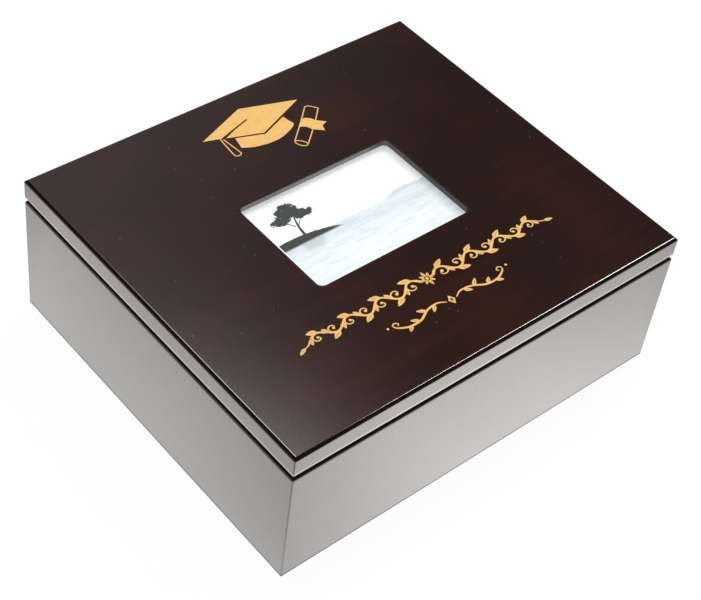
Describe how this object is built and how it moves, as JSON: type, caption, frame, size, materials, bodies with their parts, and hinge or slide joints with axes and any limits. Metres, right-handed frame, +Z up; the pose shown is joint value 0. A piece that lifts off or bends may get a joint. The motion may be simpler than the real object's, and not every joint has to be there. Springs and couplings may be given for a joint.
{
  "type": "keepsake box",
  "caption": "Lacquered keepsake box with mitred walls, a velvet lining, a picture window in the hinged lid, brass butt hinges and a slotted lid stay.",
  "frame": {"origin": "centre of the underside of the case, on the surface it stands on", "axes": "+X along the front edge to the right, +Y from the front to the hinges, +Z up"},
  "size_m": [0.292, 0.257, 0.1016],
  "materials": {
    "lacquer": "dark red-brown lacquer, polished to a mirror gloss",
    "panel_board": "plain hardboard",
    "velvet": "short-pile velvet on card",
    "felt": "pressed wool felt",
    "brass": "satin, lightly tarnished in the corners",
    "pane": "clear, polished",
    "print": "glossy photographic paper",
    "backing": "grey-brown pressed board"
  },
  "bodies": {
    "case": {"front_wall": "lacquer", "back_wall": "lacquer", "left_wall": "lacquer", "right_wall": "lacquer", "bottom_panel": "panel_board", "base_felt": "felt", "floor_lining": "velvet", "front_lining": "velvet", "back_lining": "velvet", "left_lining": "velvet", "right_lining": "velvet", "hinge_left_case_leaf": "brass", "hinge_right_case_leaf": "brass", "hinge_left_pin": "brass", "hinge_right_pin": "brass", "hinge_case_screws": "brass", "stay_case_plate": "brass", "stay_stud": "brass", "stay_case_screws": "brass"},
    "lid": {"lid_panel": "lacquer", "window_pane": "pane", "picture_print": "print", "backing_board": "backing", "lid_lining": "velvet", "hinge_left_lid_leaf": "brass", "hinge_right_lid_leaf": "brass", "hinge_lid_screws": "brass", "stay_lid_bracket": "brass", "stay_rivet": "brass", "stay_lid_screws": "brass", "turn_button_screws": "brass"},
    "stay_arm": {"stay_arm": "brass"},
    "turn_button_front_left": {"turn_button_front_left": "brass"},
    "turn_button_front_right": {"turn_button_front_right": "brass"},
    "turn_button_back_left": {"turn_button_back_left": "brass"},
    "turn_button_back_right": {"turn_button_back_right": "brass"}
  },
  "joints": [
    {"name": "lid_hinge", "type": "hinge", "parent": "case", "child": "lid", "pos_m": [0, 0.128, 0.08645], "axis": [-1, 0, 0], "range_deg": [0, 100]},
    {"name": "stay_swing", "type": "hinge", "parent": "lid", "child": "stay_arm", "pos_m": [0.13, 0.08598, 0.08045], "axis": [-1, 0, 0], "range_deg": [-50, 0]},
    {"name": "turn_button_front_left_turn", "type": "hinge", "parent": "lid", "child": "turn_button_front_left", "pos_m": [-0.038, -0.05195, 0.0898], "axis": [0, 0, 1], "range_deg": [-90, 90]},
    {"name": "turn_button_front_right_turn", "type": "hinge", "parent": "lid", "child": "turn_button_front_right", "pos_m": [0.038, -0.05195, 0.0898], "axis": [0, 0, 1], "range_deg": [-90, 90]},
    {"name": "turn_button_back_left_turn", "type": "hinge", "parent": "lid", "child": "turn_button_back_left", "pos_m": [-0.038, 0.05195, 0.0898], "axis": [0, 0, 1], "range_deg": [-90, 90]},
    {"name": "turn_button_back_right_turn", "type": "hinge", "parent": "lid", "child": "turn_button_back_right", "pos_m": [0.038, 0.05195, 0.0898], "axis": [0, 0, 1], "range_deg": [-90, 90]}
  ],
  "couplings": [
    {"joint": "stay_swing", "follows": "lid_hinge", "ratio": -0.5}
  ]
}
